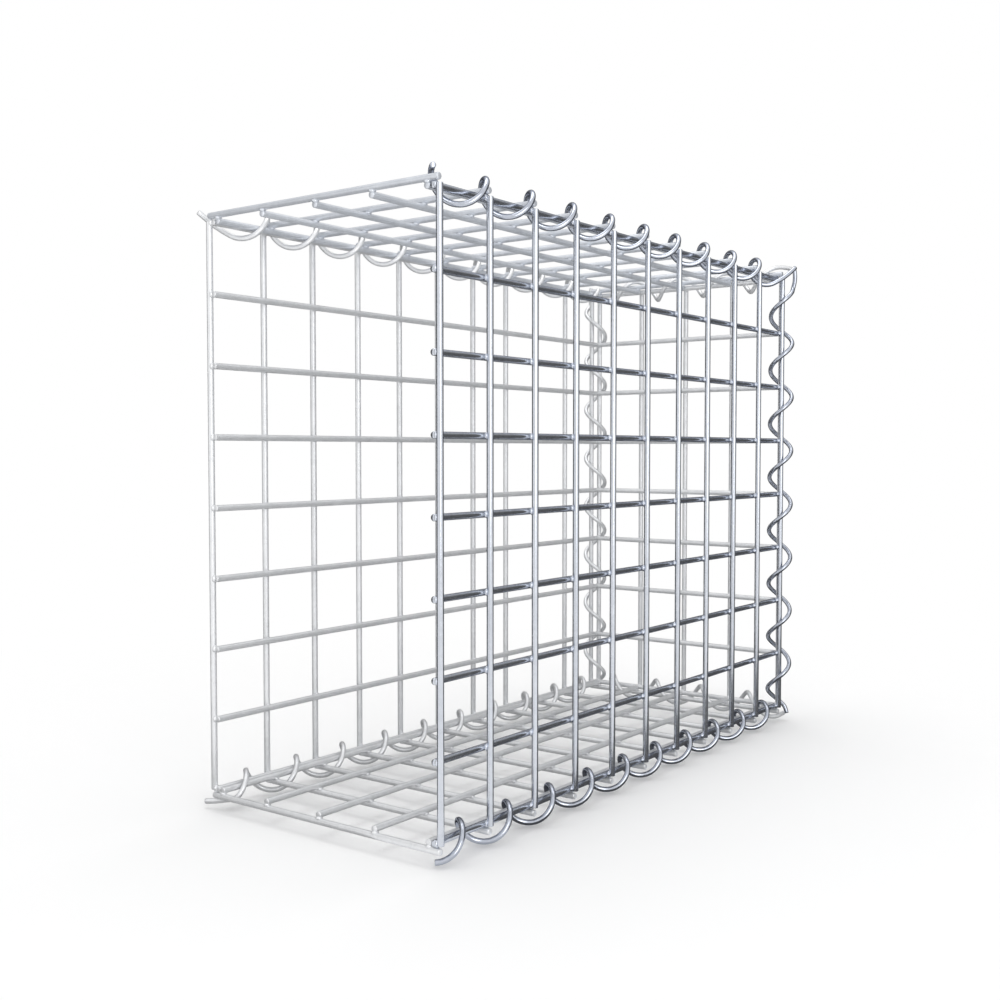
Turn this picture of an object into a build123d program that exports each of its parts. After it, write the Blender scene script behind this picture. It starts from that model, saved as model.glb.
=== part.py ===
from build123d import *
import os
from math import cos, hypot, pi, radians, sin

# A gabion basket of welded wire mesh: front, back, lid, bottom and one closed end, laced
# together along their eight seams by spiral wires. The other end is open, where the next
# bay of a wall runs on. Millimetres, X along the basket, Y through it, Z up.

# driving dimensions
length = 500.0        # between the centres of the outermost wires
depth = 200.0
height = 400.0
cell = 50.0           # pitch of the mesh, fitted to each of the three lengths
mesh_wire = 4.5       # diameter of the mesh wires, across the flats of their bars
mesh_sides = 8
stub = 1.0            # a wire's end past the centre of the last wire it is welded to
seat = 0.3            # gap between wires that lie against each other
spiral_wire = 4.5     # diameter of the spiral wires, across the flats
spiral_sides = 6
spiral_slack = 0.5    # between a spiral and the two upright wires that it laces at a corner
turn_runs = 10        # straight runs in one turn of a spiral
long_lean = 23        # degrees that a long spiral's axis stands out from the lid's edge wire
cross_lag = 3.0       # how far the end's level spirals are wound on from the corner's wires

# where the spirals' free ends point: past the corner along the seam, outwards, and sideways
# away from the basket, each from the spiral's axis at that corner
top_tail = [(-0.8, 7.3, 17.8)]
bottom_tail = [(-5.5, 6.3, -2.1), (1.0, 8.7, 13.9)]
upright_top_tail = [(-0.5, 5.3, 10.4), (10.3, 6.0, 9.3)]
upright_foot_tail = [(8.5, 10.0, 4.3)]
lid_tail = [(8.9, 10.4, 13.1)]
floor_tail = [(4.8, 8.6, 15.1)]

# cells in each direction
cells_long = round(length / cell)
cells_deep = round(depth / cell)
cells_high = round(height / cell)
pitch_long = length / cells_long
pitch_deep = depth / cells_deep
pitch_high = height / cells_high

# places of the wires that the panels share
half_long = length / 2
half_deep = depth / 2
lying = mesh_wire + seat               # centre to centre of two wires lying side by side
face_y = half_deep + mesh_wire         # upright wires of the front and back panels
end_x = half_long + stub + seat + mesh_wire / 2     # level wires of the end panel
end_face_x = end_x + mesh_wire         # its upright wires
lid_z = height + lying                 # cross wires of the lid, over the front panel
lid_long_z = lid_z - mesh_wire         # its long wires
floor_z = -lying
floor_long_z = floor_z + mesh_wire
inset_y = half_deep - lying            # outermost long wires of the lid and the bottom

# corners of the bars' sections, and the spirals' size round the widest pair of edge wires
mesh_corner = mesh_wire / 2 / cos(pi / mesh_sides)
spiral_corner = spiral_wire / 2 / cos(pi / spiral_sides)
pair_reach = hypot(end_face_x - half_long, face_y - half_deep) / 2
hold = pair_reach + spiral_slack - seat       # axis to the centre of a wire that it hangs on
spiral_radius = (pair_reach + spiral_slack + mesh_corner + spiral_corner) / cos(pi / turn_runs)


def spread(half, count):
    """Places of the wires on a panel, evenly from -half to half."""
    return [-half + 2 * half * i / count for i in range(count + 1)]


def levels_up():
    """Heights of the level wires, from the basket's floor to its lid."""
    return [z + height / 2 for z in spread(height / 2, cells_high)]


def bar(start, direction, reach):
    """A straight wire as a bar of few sides, with flats towards the wires it crosses."""
    section = RegularPolygon(mesh_corner, mesh_sides, rotation=180 / mesh_sides)
    return extrude(Plane(origin=start, z_dir=direction) * section, reach)


def welded(wires):
    """One mesh panel: its wires fused where they cross."""
    return wires[0].fuse(*wires[1:])


def side_panel(side):
    """The front panel at side -1 or the back panel at side 1."""
    uprights = [bar((x, side * face_y, -stub), (0, 0, 1), height + 2 * stub)
                for x in spread(half_long, cells_long)]
    levels = [bar((-half_long - stub, side * half_deep, z), (1, 0, 0), length + 2 * stub)
              for z in levels_up()]
    return welded(uprights + levels)


def end_panel():
    uprights = [bar((end_face_x, y, -stub), (0, 0, 1), height + 2 * stub)
                for y in spread(half_deep, cells_deep)]
    levels = [bar((end_x, -half_deep - stub, z), (0, 1, 0), depth + 2 * stub)
              for z in levels_up()]
    return welded(uprights + levels)


def flat_panel(cross_z, long_z):
    """The lid or the bottom: cross wires outside, long wires inside."""
    crosses = [bar((x, -face_y, cross_z), (0, 1, 0), 2 * face_y)
               for x in spread(half_long, cells_long)]
    middles = spread(half_deep, cells_deep)[1:-1]
    longs = [bar((-half_long - stub, y, long_z), (1, 0, 0), length + 2 * stub)
             for y in [-inset_y] + middles + [inset_y]]
    return welded(crosses + longs)


def spiral(corner, along, out, away, hand, pitch, cells, first, last, start=(), finish=()):
    """A wire wound round a seam, one turn to a cell, with free ends at its start and finish.

    The axis runs along from corner. At every whole cell the wire stands at its outermost
    place, in the direction out. The winding starts at run first and stops last runs short of
    the far corner. hand is 1 for a right-handed thread and -1 for a left-handed one.
    """
    axis, outward, side = Vector(along), Vector(out), Vector(away)
    second = axis.cross(outward) * hand
    near = Vector(corner)
    far = near + axis * (pitch * cells)
    points = []
    for i in range(first, cells * turn_runs - last + 1):
        angle = 2 * pi * i / turn_runs
        around = outward * cos(angle) + second * sin(angle)
        points.append(near + axis * (i * pitch / turn_runs) + around * spiral_radius)
    for beyond, proud, aside in start:
        points.insert(0, near - axis * beyond + outward * proud + side * aside)
    for beyond, proud, aside in finish:
        points.append(far + axis * beyond + outward * proud + side * aside)
    path = Polyline(*points)
    section = Plane(origin=path @ 0, z_dir=path % 0) * RegularPolygon(spiral_corner, spiral_sides)
    return sweep(section, path=path, transition=Transition.RIGHT)


def long_spiral(side, out, first, last, start=(), finish=()):
    """Along the top (out 1) or bottom (out -1) of the front (side -1) or back (side 1)."""
    long_z = lid_long_z if out > 0 else floor_long_z
    lean = radians(long_lean)
    y = side * (inset_y + hold * cos(lean))
    z = long_z + out * hold * sin(lean)
    return spiral((-half_long, y, z), (1, 0, 0), (0, 0, out), (0, side, 0), -1,
                  pitch_long, cells_long, first, last, start, finish)


def upright_spiral(side):
    x = (half_long + end_face_x) / 2
    y = side * (face_y + half_deep) / 2
    return spiral((x, y, 0), (0, 0, 1), (1, 0, 0), (0, side, 0), -side,
                  pitch_high, cells_high, 0, 2, upright_foot_tail, upright_top_tail)


def cross_spiral(out, tail):
    """Along the closed end, seated on the last cross wire of the lid or the bottom."""
    wire = Vector(half_long, 0, lid_z if out > 0 else floor_z)
    level = Vector(end_x, 0, height if out > 0 else 0)
    seat_line = wire + (level - wire).normalized() * hold
    corner = seat_line - Vector(0, half_deep - cross_lag, 0)
    return spiral(corner, (0, 1, 0), (0, 0, out), (1, 0, 0), -out,
                  pitch_deep, cells_deep, 1, 3, tail)


nodes = {
    "front_panel": side_panel(-1),
    "back_panel": side_panel(1),
    "end_panel": end_panel(),
    "lid_panel": flat_panel(lid_z, lid_long_z),
    "bottom_panel": flat_panel(floor_z, floor_long_z),
    "spiral_front_top": long_spiral(-1, 1, 0, 4, finish=top_tail),
    "spiral_front_bottom": long_spiral(-1, -1, 0, 3),
    "spiral_back_top": long_spiral(1, 1, 4, 2, start=top_tail),
    "spiral_back_bottom": long_spiral(1, -1, 2, 2, start=bottom_tail),
    "spiral_end_front": upright_spiral(-1),
    "spiral_end_back": upright_spiral(1),
    "spiral_end_top": cross_spiral(1, lid_tail),
    "spiral_end_bottom": cross_spiral(-1, floor_tail),
}

# the origin is the middle of the underside of the whole basket's box
boxes = [shape.bounding_box() for shape in nodes.values()]
low = Vector(*(min(getattr(b.min, axis) for b in boxes) for axis in "XYZ"))
top = Vector(*(max(getattr(b.max, axis) for b in boxes) for axis in "XYZ"))
shift = Location((-(low.X + top.X) / 2, -(low.Y + top.Y) / 2, -low.Z))

os.makedirs("parts", exist_ok=True)
for name, shape in nodes.items():
    export_step(shape.moved(shift), f"parts/{name}.step")
    print(name, round(shape.volume), "mm3")
print("size", top - low)
print("moved by", shift.position)
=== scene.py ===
import random
from math import cos, hypot, pi, radians, sin

import bmesh
import bpy
from mathutils import Matrix, Vector
from mathutils.geometry import interpolate_bezier


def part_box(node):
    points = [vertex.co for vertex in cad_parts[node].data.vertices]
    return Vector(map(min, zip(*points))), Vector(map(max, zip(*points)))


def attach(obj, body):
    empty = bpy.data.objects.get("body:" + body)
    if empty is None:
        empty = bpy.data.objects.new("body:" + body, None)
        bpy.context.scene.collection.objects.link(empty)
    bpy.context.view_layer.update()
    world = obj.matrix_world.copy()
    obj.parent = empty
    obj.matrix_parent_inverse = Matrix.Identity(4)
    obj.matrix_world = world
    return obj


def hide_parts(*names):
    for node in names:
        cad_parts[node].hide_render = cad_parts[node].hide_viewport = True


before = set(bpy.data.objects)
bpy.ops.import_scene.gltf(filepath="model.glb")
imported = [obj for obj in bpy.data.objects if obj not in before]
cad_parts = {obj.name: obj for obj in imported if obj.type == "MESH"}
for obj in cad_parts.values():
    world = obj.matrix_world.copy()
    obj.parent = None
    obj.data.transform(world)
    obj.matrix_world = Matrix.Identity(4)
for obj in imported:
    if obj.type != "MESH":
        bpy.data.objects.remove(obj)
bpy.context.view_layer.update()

random.seed(7)

# the mesh that every panel is made of, in metres
mesh = {
    "cell": 0.050,
    "cellsLong": 10,
    "cellsHigh": 8,
    "cellsDeep": 4,
    "wire": 0.0045,          # diameter
    "stub": 0.001,           # wire end past the centre of the last wire that it crosses
    "seat": 0.0003,          # gap between wires that lie against each other
    "sides": 28,
    "rim": 0.0005,           # rounding of the cut ends
    "weldWide": 0.0026,      # half widths of a weld's bead, along the wires and across the contact
    "weldThick": 0.0013,
    "weldWideRange": (0.92, 1.08),
    "weldThickRange": (0.9, 1.1),
    "weldSides": 8,
    "weldRings": 6,
    "weldGlintTone": 0.9,         # 0 is the finish's dark end, 1 its pale end; the welds sit near the pale end as a painted glint
}

# the script's own zero is the basket's middle, level with the lowest level wires of its sides
halfLong = mesh["cell"] * mesh["cellsLong"] / 2
halfDeep = mesh["cell"] * mesh["cellsDeep"] / 2
high = mesh["cell"] * mesh["cellsHigh"]
wire = mesh["wire"]
stub = mesh["stub"]
lying = wire + mesh["seat"]               # centre to centre of two wires lying side by side
faceY = halfDeep + wire                   # upright wires of the front and back panels
endX = halfLong + stub + mesh["seat"] + wire / 2     # level wires of the end panel
endFaceX = endX + wire                    # its upright wires
lidZ = high + lying                       # cross wires of the lid
lidLongZ = lidZ - wire                    # its long wires
floorZ = -lying
floorLongZ = floorZ + wire
insetY = halfDeep - lying                 # outermost long wires of the lid and the bottom

# carries the script's own places to the frame's
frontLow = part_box("front_panel")[0]
shift = Vector((frontLow.x + halfLong + stub, frontLow.y + faceY + wire / 2,
                frontLow.z + wire / 2))
print("stage: frame read, basket shifted by", [round(v, 5) for v in shift])


def turnTo(direction):
    return Vector(direction).to_track_quat("Z", "Y").to_matrix().to_4x4()


touching = 1e-6           # points closer than this are one


def roundEnds(bm, rim):
    # the two end faces are the only ones with more than four corners
    rims = [e for e in bm.edges if any(len(f.verts) > 4 for f in e.link_faces)]
    bmesh.ops.bevel(bm, geom=rims, offset=rim, segments=2, profile=0.5,
                    affect="EDGES", material=-1)
    bmesh.ops.remove_doubles(bm, verts=bm.verts[:], dist=touching)
    bmesh.ops.recalc_face_normals(bm, faces=bm.faces[:])


def setTone(bm, value):
    tone = bm.faces.layers.float.new("wireTone")
    for f in bm.faces:
        f[tone] = value


def pour(bm, target):
    # moves a small bmesh into a big one, which is far quicker than building in the big one
    part = bpy.data.meshes.new("part")
    bm.to_mesh(part)
    bm.free()
    target.from_mesh(part)
    bpy.data.meshes.remove(part)


def addWire(target, start, direction, length):
    middle = Vector(start) + shift + Vector(direction) * (length / 2)
    bm = bmesh.new()
    bmesh.ops.create_cone(bm, cap_ends=True, cap_tris=False, segments=mesh["sides"],
                          radius1=wire / 2, radius2=wire / 2, depth=length,
                          matrix=Matrix.Translation(middle) @ turnTo(direction))
    roundEnds(bm, mesh["rim"])
    # the rounded ends are kept from tilting the shading of the long straight faces
    for f in bm.faces:
        if max(e.calc_length() for e in f.edges) > wire:
            for e in f.edges:
                e.smooth = e.calc_length() > wire
    setTone(bm, random.uniform(0, 1))
    pour(bm, target)


def addWeld(target, a, b, axis):
    # flash squeezed out between two crossing wires, a low bead at their contact, toned pale as a
    # painted glint
    middle = (Vector(a) + Vector(b)) / 2 + shift
    size = [mesh["weldWide"] * random.uniform(*mesh["weldWideRange"]) for i in range(3)]
    size["XYZ".index(axis)] = mesh["weldThick"] * random.uniform(*mesh["weldThickRange"])
    bm = bmesh.new()
    bmesh.ops.create_uvsphere(bm, u_segments=mesh["weldSides"], v_segments=mesh["weldRings"],
                              radius=1,
                              matrix=Matrix.Translation(middle) @ Matrix.Diagonal(size + [1]))
    setTone(bm, mesh["weldGlintTone"])
    pour(bm, target)


def addObject(bm, name):
    data = bpy.data.meshes.new(name)
    bm.to_mesh(data)
    bm.free()
    obj = bpy.data.objects.new(name, data)
    bpy.context.scene.collection.objects.link(obj)
    return obj


def finishPiece(bm, name, node):
    for f in bm.faces:
        f.smooth = True
    piece = addObject(bm, name)
    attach(piece, "root")
    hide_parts(node)
    return piece


def spread(half, count):
    return [-half + 2 * half * i / count for i in range(count + 1)]


def crossed(firsts, seconds, weldAxis):
    # firsts and seconds are (start, direction, length); they weld where they cross
    bm = bmesh.new()
    bm.faces.layers.float.new("wireTone")
    for start, direction, length in firsts + seconds:
        addWire(bm, start, direction, length)
    for firstStart, firstWay, _ in firsts:
        for secondStart, secondWay, _ in seconds:
            a, b = Vector(firstStart), Vector(secondStart)
            u, v = Vector(firstWay), Vector(secondWay)
            addWeld(bm, a + u * (b - a).dot(u), b + v * (a - b).dot(v), weldAxis)
    return bm


levelsUp = [mesh["cell"] * i for i in range(mesh["cellsHigh"] + 1)]


def sidePanel(side):
    uprights = [((x, side * faceY, -stub), (0, 0, 1), high + 2 * stub)
                for x in spread(halfLong, mesh["cellsLong"])]
    levels = [((-halfLong - stub, side * halfDeep, z), (1, 0, 0), 2 * (halfLong + stub))
              for z in levelsUp]
    return crossed(uprights, levels, "Y")


def endPanel():
    uprights = [((endFaceX, y, -stub), (0, 0, 1), high + 2 * stub)
                for y in spread(halfDeep, mesh["cellsDeep"])]
    levels = [((endX, -halfDeep - stub, z), (0, 1, 0), 2 * (halfDeep + stub))
              for z in levelsUp]
    return crossed(uprights, levels, "X")


def flatPanel(crossZ, longZ):
    # the lid or the bottom, with its cross wires outside and its long wires inside
    crosses = [((x, -faceY, crossZ), (0, 1, 0), 2 * faceY)
               for x in spread(halfLong, mesh["cellsLong"])]
    middles = spread(halfDeep, mesh["cellsDeep"])[1:-1]
    longs = [((-halfLong - stub, y, longZ), (1, 0, 0), 2 * (halfLong + stub))
             for y in [-insetY] + middles + [insetY]]
    return crossed(crosses, longs, "Z")


meshPieces = {
    "front": finishPiece(sidePanel(-1), "frontMesh", "front_panel"),
    "back": finishPiece(sidePanel(1), "backMesh", "back_panel"),
    "end": finishPiece(endPanel(), "endMesh", "end_panel"),
    "lid": finishPiece(flatPanel(lidZ, lidLongZ), "lidMesh", "lid_panel"),
    "bottom": finishPiece(flatPanel(floorZ, floorLongZ), "bottomMesh", "bottom_panel"),
}
print("stage: mesh panels")

# the spiral wires that lace the panels together, in metres and degrees
lacing = {
    "wire": 0.0039,
    "slack": 0.0005,         # between a spiral and the two upright wires that it laces at a corner
    "sides": 16,
    "stepsPerTurn": 40,
    "runsPerTurn": 10,       # the unit in which a winding's start and stop are given
    "radius": 0.00985,       # axis to the wire's centre line
    "longLean": 23,          # how far a long spiral's axis stands out from the lid's edge wire
    "crossLag": 0.003,       # how far the end's level spirals are wound on from the corner's wires
    "rim": 0.0005,
    "ease": 0.40,            # share of a free end's reach over which each bend eases in
    "bendStops": 12,
    "tone": 0.7,
    # free ends: past the corner along the seam, outwards, and away from the basket
    "topTail": [(-0.0008, 0.0073, 0.0178)],
    "bottomTail": [(-0.0055, 0.0063, -0.0021), (0.0010, 0.0087, 0.0139)],
    "uprightTopTail": [(-0.0005, 0.0053, 0.0104), (0.0103, 0.0060, 0.0093)],
    "uprightFootTail": [(0.0085, 0.0100, 0.0043)],
    "lidTail": [(0.0089, 0.0104, 0.0131)],
    "floorTail": [(0.0048, 0.0086, 0.0151)],
}


def addRing(bm, at, heading):
    made = bmesh.ops.create_circle(bm, cap_ends=False, segments=lacing["sides"],
                                   radius=lacing["wire"] / 2,
                                   matrix=Matrix.Translation(at) @ turnTo(heading))
    return made["verts"], list({e for v in made["verts"] for e in v.link_edges})


def runOn(bm, ring, at, heading, targets):
    # carries an open ring of edges on along one smooth bend to each target in turn
    for i, target in enumerate(targets):
        reach = (target - at).length * lacing["ease"]
        out = at + heading * reach
        leave = (targets[i + 1] - at if i + 1 < len(targets) else target - out).normalized()
        stops = interpolate_bezier(at, out, target - leave * reach, target, lacing["bendStops"])
        for j in range(1, len(stops)):
            ahead = stops[min(j + 1, len(stops) - 1)] - stops[j - 1]
            made = bmesh.ops.extrude_edge_only(bm, edges=ring)
            verts = [g for g in made["geom"] if isinstance(g, bmesh.types.BMVert)]
            fresh = set(verts)
            turn = heading.rotation_difference(ahead).to_matrix()
            bmesh.ops.rotate(bm, verts=verts, cent=at, matrix=turn)
            bmesh.ops.translate(bm, verts=verts, vec=stops[j] - at)
            ring = [g for g in made["geom"] if isinstance(g, bmesh.types.BMEdge)
                    and g.verts[0] in fresh and g.verts[1] in fresh]
            at, heading = stops[j], ahead.normalized()
    return ring


def windSpiral(corner, along, out, away, hand, cells, first, last, start=(), finish=()):
    # The axis runs along from corner, one turn to a cell, and at every whole cell the wire
    # stands in the direction out. The winding starts at run first and stops last runs short
    # of the far corner. hand is 1 for a right-handed thread and -1 for a left-handed one.
    axis, outward, side = Vector(along), Vector(out), Vector(away)
    second = axis.cross(outward) * hand
    near = Vector(corner) + shift
    far = near + axis * (mesh["cell"] * cells)
    turnRuns = lacing["runsPerTurn"]
    run = mesh["cell"] / turnRuns
    radius = lacing["radius"]

    def onHelix(i):
        a = 2 * pi * i / turnRuns
        around = outward * cos(a) + second * sin(a)
        ahead = (second * cos(a) - outward * sin(a)) * radius + axis * (mesh["cell"] / (2 * pi))
        return near + axis * (run * i) + around * radius, ahead.normalized()

    def tailPlaces(end, onward, tail):
        return [end + onward * past + outward * proud + side * aside
                for past, proud, aside in tail]

    bm = bmesh.new()
    at, heading = onHelix(first)
    verts, earlyRing = addRing(bm, at, heading)
    runs = cells * turnRuns - last - first
    steps = round(runs / turnRuns * lacing["stepsPerTurn"])
    made = bmesh.ops.spin(bm, geom=verts + earlyRing, cent=near, axis=axis,
                          dvec=axis * (run * runs / steps), angle=hand * 2 * pi * runs / turnRuns,
                          steps=steps, use_duplicate=False)
    lateRing = [e for e in made["geom_last"] if isinstance(e, bmesh.types.BMEdge)]
    if start:
        joint = addRing(bm, at, heading)[1]
        earlyRing = runOn(bm, joint, at, -heading, tailPlaces(near, -axis, start))
    if finish:
        at, heading = onHelix(cells * turnRuns - last)
        lateRing = runOn(bm, lateRing, at, heading, tailPlaces(far, axis, finish))
    for ring in (earlyRing, lateRing):
        bmesh.ops.contextual_create(bm, geom=ring)
    roundEnds(bm, lacing["rim"])
    setTone(bm, lacing["tone"])
    return bm


pairReach = hypot(endFaceX - halfLong, faceY - halfDeep) / 2
hold = pairReach + lacing["slack"] - mesh["seat"]     # axis to the wire that a spiral hangs on


def longSpiral(side, out, first, last, start=(), finish=()):
    # along the top (out 1) or bottom (out -1) of the front (side -1) or back (side 1)
    lean = radians(lacing["longLean"])
    longZ = lidLongZ if out > 0 else floorLongZ
    corner = (-halfLong, side * (insetY + hold * cos(lean)), longZ + out * hold * sin(lean))
    return windSpiral(corner, (1, 0, 0), (0, 0, out), (0, side, 0), -1, mesh["cellsLong"],
                      first, last, start, finish)


def uprightSpiral(side):
    corner = ((halfLong + endFaceX) / 2, side * (faceY + halfDeep) / 2, 0)
    return windSpiral(corner, (0, 0, 1), (1, 0, 0), (0, side, 0), -side, mesh["cellsHigh"],
                      0, 2, lacing["uprightFootTail"], lacing["uprightTopTail"])


def crossSpiral(out, tail):
    # along the closed end, seated on the last cross wire of the lid or the bottom
    edge = Vector((halfLong, 0, lidZ if out > 0 else floorZ))
    level = Vector((endX, 0, high if out > 0 else 0))
    seatLine = edge + (level - edge).normalized() * hold
    corner = seatLine - Vector((0, halfDeep - lacing["crossLag"], 0))
    return windSpiral(corner, (0, 1, 0), (0, 0, out), (1, 0, 0), -out, mesh["cellsDeep"],
                      1, 3, tail)


spiralPieces = {
    "frontTop": finishPiece(longSpiral(-1, 1, 0, 4, finish=lacing["topTail"]),
                            "lacingFrontTop", "spiral_front_top"),
    "frontBottom": finishPiece(longSpiral(-1, -1, 0, 3),
                               "lacingFrontBottom", "spiral_front_bottom"),
    "backTop": finishPiece(longSpiral(1, 1, 4, 2, start=lacing["topTail"]),
                           "lacingBackTop", "spiral_back_top"),
    "backBottom": finishPiece(longSpiral(1, -1, 2, 2, start=lacing["bottomTail"]),
                              "lacingBackBottom", "spiral_back_bottom"),
    "endFront": finishPiece(uprightSpiral(-1), "lacingEndFront", "spiral_end_front"),
    "endBack": finishPiece(uprightSpiral(1), "lacingEndBack", "spiral_end_back"),
    "endTop": finishPiece(crossSpiral(1, lacing["lidTail"]), "lacingEndTop", "spiral_end_top"),
    "endBottom": finishPiece(crossSpiral(-1, lacing["floorTail"]),
                             "lacingEndBottom", "spiral_end_bottom"),
}
print("stage: lacing spirals")


def freshTree(owner):
    owner.use_nodes = True
    owner.node_tree.nodes.clear()
    return owner.node_tree


def addNode(tree, kind, sockets=None, **settings):
    node = tree.nodes.new(kind)
    for key, value in settings.items():
        setattr(node, key, value)
    for name, value in (sockets or {}).items():
        node.inputs[name].default_value = value
    return node


def zincMaterial(name, look):
    material = bpy.data.materials.new(name)
    tree = freshTree(material)
    link = tree.links.new
    output = addNode(tree, "ShaderNodeOutputMaterial")
    shader = addNode(tree, "ShaderNodeBsdfPrincipled",
                     {"Metallic": look["metallic"], "Specular Tint": look["edge"]})
    link(shader.outputs["BSDF"], output.inputs["Surface"])
    place = addNode(tree, "ShaderNodeTexCoord")

    # cloudy bloom of the zinc, its small crystals, and a tone of each wire's own, pale on the
    # welds as a painted glint
    cloud = addNode(tree, "ShaderNodeTexNoise",
                    {"Scale": look["cloudScale"], "Detail": look["cloudDetail"]})
    link(place.outputs["Object"], cloud.inputs["Vector"])
    crystal = addNode(tree, "ShaderNodeTexVoronoi", {"Scale": look["crystalScale"]}, feature="F1")
    link(place.outputs["Object"], crystal.inputs["Vector"])
    facet = addNode(tree, "ShaderNodeSeparateColor")
    link(crystal.outputs["Color"], facet.inputs["Color"])
    mottle = addNode(tree, "ShaderNodeMix", {"Factor": look["crystalShare"]}, data_type="FLOAT")
    link(cloud.outputs["Fac"], mottle.inputs["A"])
    link(facet.outputs["Red"], mottle.inputs["B"])
    ownTone = addNode(tree, "ShaderNodeAttribute", attribute_name="wireTone")
    mixed = addNode(tree, "ShaderNodeMix", {"Factor": look["wireShare"]}, data_type="FLOAT")
    link(mottle.outputs["Result"], mixed.inputs["A"])
    link(ownTone.outputs["Fac"], mixed.inputs["B"])

    tone = addNode(tree, "ShaderNodeValToRGB")
    darkEnd, paleEnd = tone.color_ramp.elements
    darkEnd.position, darkEnd.color = look["mottleLow"], look["dark"]
    paleEnd.position, paleEnd.color = look["mottleHigh"], look["pale"]
    link(mixed.outputs["Result"], tone.inputs["Fac"])
    link(tone.outputs["Color"], shader.inputs["Base Color"])

    rough = addNode(tree, "ShaderNodeMapRange",
                    {"From Min": look["mottleLow"], "From Max": look["mottleHigh"],
                     "To Min": look["roughLow"], "To Max": look["roughHigh"]})
    link(mottle.outputs["Result"], rough.inputs["Value"])
    link(rough.outputs["Result"], shader.inputs["Roughness"])

    grain = addNode(tree, "ShaderNodeTexNoise",
                    {"Scale": look["grainScale"], "Detail": look["grainDetail"]})
    link(place.outputs["Object"], grain.inputs["Vector"])
    bump = addNode(tree, "ShaderNodeBump",
                   {"Strength": look["bump"], "Distance": look["bumpDepth"]})
    link(grain.outputs["Fac"], bump.inputs["Height"])
    link(bump.outputs["Normal"], shader.inputs["Normal"])
    return material


# one zinc in lit and shaded copies: a darker, glossier copy on the front (painted shade), a paler,
# duller copy on the rest (painted light), and a darker, bluer copy on the lid (painted reflection)
shadedFrontZinc = {
    "metallic": 0.97,
    "dark": (0.62, 0.65, 0.71, 1),
    "pale": (0.72, 0.75, 0.81, 1),
    "edge": (0.55, 0.57, 0.64, 1),
    "mottleLow": 0.3,        # mottling at and below this is wholly dark
    "mottleHigh": 0.7,       # and from here on wholly pale
    "cloudScale": 60,
    "cloudDetail": 4,
    "crystalScale": 380,
    "crystalShare": 0.2,
    "wireShare": 0.3,
    "roughLow": 0.16,
    "roughHigh": 0.20,
    "grainScale": 1400,
    "grainDetail": 3,
    "bump": 0.03,
    "bumpDepth": 0.0001,
}
# a paler, duller copy of the same zinc for the rest of the basket, painted light
paleLitZinc = dict(shadedFrontZinc, metallic=0.5, dark=(0.73, 0.74, 0.755, 1), pale=(0.86, 0.87, 0.885, 1),
                edge=(0.40, 0.40, 0.42, 1), roughLow=0.285, roughHigh=0.335)
# a darker, bluer copy of the same zinc on the lid, painted reflection
lidReflectionZinc = dict(paleLitZinc, dark=(0.66, 0.69, 0.74, 1), pale=(0.79, 0.82, 0.87, 1))
# the front spirals' darker, bluer copy of the zinc, painted shade
shadedFrontLacing = dict(shadedFrontZinc, dark=(0.44, 0.47, 0.54, 1), pale=(0.56, 0.59, 0.66, 1),
                    roughLow=0.12, roughHigh=0.18)
# materials for the painted-shade, painted-light and painted-reflection copies of one zinc
finishes = {
    "shadedFrontMesh": zincMaterial("shadedFrontMeshZinc", shadedFrontZinc),
    "paleLitMesh": zincMaterial("paleLitMeshZinc", paleLitZinc),
    "lidMesh": zincMaterial("lidReflectionMeshZinc", lidReflectionZinc),
    "shadedFrontLacing": zincMaterial("shadedFrontLacingZinc", shadedFrontLacing),
    "paleLitLacing": zincMaterial("paleLitLacingZinc", paleLitZinc),
}
# the front and its spirals take the darker copy (painted shade), the lid the bluer copy (painted
# reflection), the rest the paler copy (painted light)
ownFinish = {
    "front": "shadedFrontMesh",
    "lid": "lidMesh",
    "frontTop": "shadedFrontLacing",
    "frontBottom": "shadedFrontLacing",
    "endFront": "shadedFrontLacing",
}
for name, piece in meshPieces.items():
    piece.data.materials.append(finishes[ownFinish.get(name, "paleLitMesh")])
for name, piece in spiralPieces.items():
    piece.data.materials.append(finishes[ownFinish.get(name, "paleLitLacing")])
print("stage: zinc finish")

# place, aim, width, height, watts
lamps = {
    "keyLamp": ((-1.35, -2.2, 1.0), (0, 0, 0.25), 1.0, 2.0, 13.0),
    "topLamp": ((0.2, 0.3, 2.6), (0, 0, 0.2), 1.3, 1.3, 12.0),
}


def hangLamp(name, place, aim, width, tall, watts):
    lamp = bpy.data.lights.new(name, "AREA")
    lamp.shape = "RECTANGLE"
    lamp.size = width
    lamp.size_y = tall
    lamp.energy = watts
    obj = bpy.data.objects.new(name, lamp)
    obj.location = place
    obj.rotation_euler = (Vector(aim) - Vector(place)).to_track_quat("-Z", "Y").to_euler()
    obj.visible_camera = False
    bpy.context.scene.collection.objects.link(obj)


for name, values in lamps.items():
    hangLamp(name, *values)

# a dim screen round the back of the basket and on the floor before it, seen only by the metal
screenPlan = {
    "middle": (-0.21, -0.10, 0),
    "startAngle": -55,       # degrees from +X
    "endAngle": 134,
    "steps": 24,
    "radius": 2.6,
    "high": 2.6,
    "apronRadius": 0.03,     # where its apron on the floor starts
    "apronLift": 0.002,
    "liftFrom": 0.8,         # height from which it grows paler
    "glowLow": 0.09,
    "glowHigh": 0.50,
}


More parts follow.
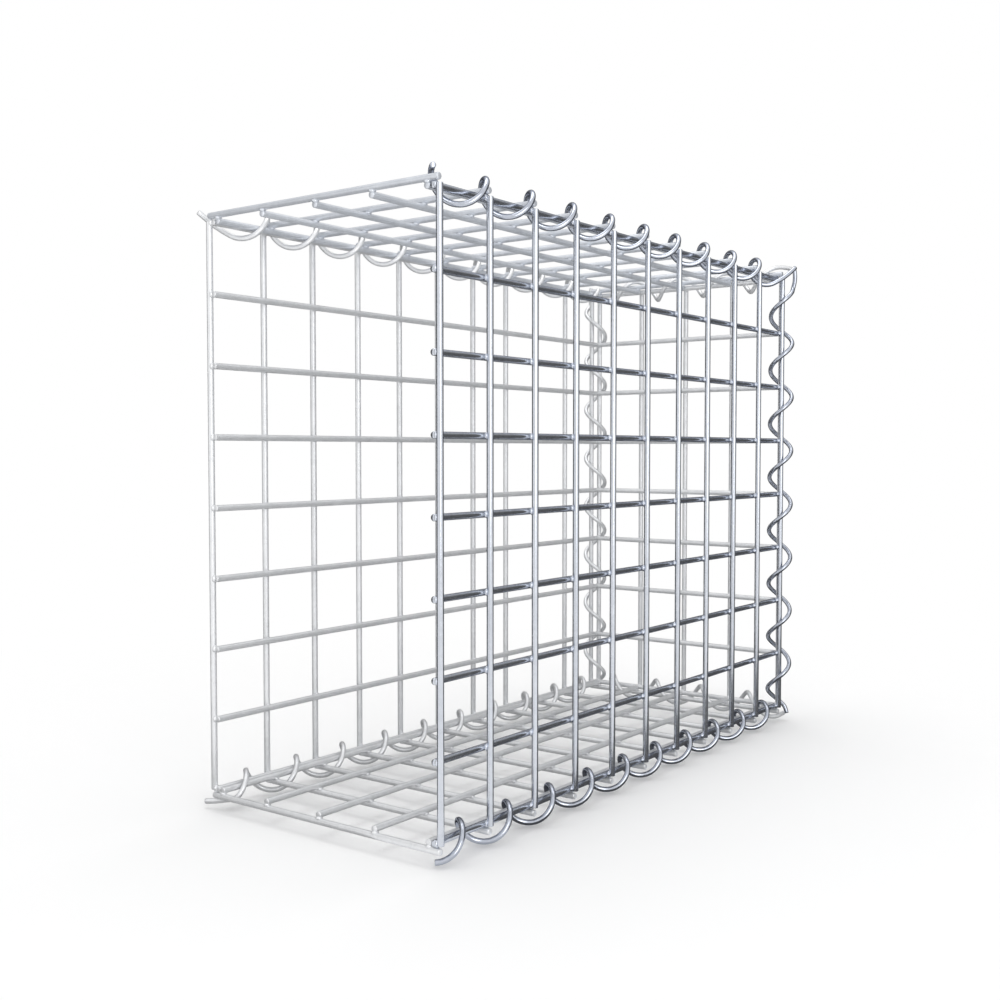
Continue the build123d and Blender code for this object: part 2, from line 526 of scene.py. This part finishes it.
def screenSheet():
    bm = bmesh.new()
    corners = [(screenPlan["apronRadius"], 0, screenPlan["apronLift"]),
               (screenPlan["radius"], 0, screenPlan["apronLift"]),
               (screenPlan["radius"], 0, screenPlan["high"])]
    profile = [bm.verts.new(corner) for corner in corners]
    edges = [bm.edges.new(profile[:2]), bm.edges.new(profile[1:])]
    middle = screenPlan["middle"]
    first = Matrix.Rotation(radians(screenPlan["startAngle"]), 3, "Z")
    bmesh.ops.rotate(bm, verts=profile, cent=(0, 0, 0), matrix=first)
    bmesh.ops.translate(bm, verts=profile, vec=middle)
    bmesh.ops.spin(bm, geom=profile + edges, cent=middle, axis=(0, 0, 1),
                   steps=screenPlan["steps"], use_duplicate=False,
                   angle=radians(screenPlan["endAngle"] - screenPlan["startAngle"]))
    return bm


def screenGlow():
    paint = bpy.data.materials.new("dimScreenPaint")
    tree = freshTree(paint)
    link = tree.links.new
    place = addNode(tree, "ShaderNodeTexCoord")
    parts = addNode(tree, "ShaderNodeSeparateXYZ")
    link(place.outputs["Object"], parts.inputs[0])
    lift = addNode(tree, "ShaderNodeMapRange",
                   {"From Min": screenPlan["liftFrom"], "From Max": screenPlan["high"],
                    "To Min": screenPlan["glowLow"], "To Max": screenPlan["glowHigh"]})
    link(parts.outputs["Z"], lift.inputs["Value"])
    glow = addNode(tree, "ShaderNodeEmission")
    link(lift.outputs["Result"], glow.inputs["Strength"])
    output = addNode(tree, "ShaderNodeOutputMaterial")
    link(glow.outputs["Emission"], output.inputs["Surface"])
    return paint


screen = addObject(screenSheet(), "dimScreen")
screen.visible_camera = False
screen.visible_diffuse = False
screen.visible_shadow = False
screen.data.materials.append(screenGlow())

plainWhite = (1, 1, 1, 1)


def seenBy(tree, *kinds):
    # 1 for a ray of any of these kinds
    rays = addNode(tree, "ShaderNodeLightPath")
    seen = rays.outputs[kinds[0]]
    for kind in kinds[1:]:
        either = addNode(tree, "ShaderNodeMath", operation="MAXIMUM")
        tree.links.new(seen, either.inputs[0])
        tree.links.new(rays.outputs[kind], either.inputs[1])
        seen = either.outputs[0]
    return seen


# the surroundings look white and light the basket a little less brightly
surroundings = {
    "seen": 1,
    "ambient": 0.88,
}
world = bpy.data.worlds.new("paleStudio")
bpy.context.scene.world = world
tree = freshTree(world)
link = tree.links.new
seen = seenBy(tree, "Is Camera Ray", "Is Glossy Ray", "Is Transmission Ray")
dim = addNode(tree, "ShaderNodeBackground",
              {"Color": plainWhite, "Strength": surroundings["ambient"]})
white = addNode(tree, "ShaderNodeBackground",
                {"Color": plainWhite, "Strength": surroundings["seen"]})
chosen = addNode(tree, "ShaderNodeMixShader")
link(seen, chosen.inputs["Fac"])
link(dim.outputs["Background"], chosen.inputs[1])
link(white.outputs["Background"], chosen.inputs[2])
worldOut = addNode(tree, "ShaderNodeOutputWorld")
link(chosen.outputs["Shader"], worldOut.inputs["Surface"])

# pale floor that fades into the white around it
floorPlan = {
    "half": 30,
    "height": -0.0002,
    "tone": 0.94,
    "fadeStart": 0.30,       # from the basket's middle
    "fadeEnd": 0.85,
}


def floorPaint():
    paint = bpy.data.materials.new("floorPaint")
    tree = freshTree(paint)
    link = tree.links.new
    plain = addNode(tree, "ShaderNodeBsdfDiffuse", {"Color": (floorPlan["tone"],) * 3 + (1,)})
    glow = addNode(tree, "ShaderNodeEmission", {"Color": plainWhite, "Strength": 1})
    place = addNode(tree, "ShaderNodeTexCoord")
    far = addNode(tree, "ShaderNodeVectorMath", operation="LENGTH")
    link(place.outputs["Object"], far.inputs[0])
    fade = addNode(tree, "ShaderNodeMapRange",
                   {"From Min": floorPlan["fadeStart"], "From Max": floorPlan["fadeEnd"]},
                   interpolation_type="SMOOTHSTEP")
    link(far.outputs["Value"], fade.inputs["Value"])
    share = addNode(tree, "ShaderNodeMath", operation="MULTIPLY")
    link(fade.outputs["Result"], share.inputs[0])
    link(seenBy(tree, "Is Camera Ray", "Is Glossy Ray"), share.inputs[1])
    mix = addNode(tree, "ShaderNodeMixShader")
    link(share.outputs[0], mix.inputs["Fac"])
    link(plain.outputs["BSDF"], mix.inputs[1])
    link(glow.outputs["Emission"], mix.inputs[2])
    output = addNode(tree, "ShaderNodeOutputMaterial")
    link(mix.outputs["Shader"], output.inputs["Surface"])
    return paint


bm = bmesh.new()
bmesh.ops.create_grid(bm, x_segments=1, y_segments=1, size=floorPlan["half"])
floor = addObject(bm, "floor")
floor.location.z = floorPlan["height"]
floor.data.materials.append(floorPaint())
print("stage: studio")

shot = {
    "place": (-0.8122418, -0.5686020, 0.2400868),    # from the script's own zero, in metres
    "turn": 0.9303705,       # radians from +Y towards +X
    "dip": -0.0401978,       # radians below level
    "focal": 43.4447,        # mm
    "sensor": 36,            # mm wide
    "clipStart": 0.01,
}
cameraData = bpy.data.cameras.new("camera")
cameraData.sensor_width = shot["sensor"]
cameraData.sensor_fit = "HORIZONTAL"
cameraData.lens = shot["focal"]
cameraData.clip_start = shot["clipStart"]
camera = bpy.data.objects.new("camera", cameraData)
camera.location = Vector(shot["place"]) + shift
camera.rotation_euler = (pi / 2 + shot["dip"], 0, -shot["turn"])
bpy.context.scene.collection.objects.link(camera)
bpy.context.scene.camera = camera
bpy.context.scene.view_settings.view_transform = "Standard"

print("stage: camera and sizes")
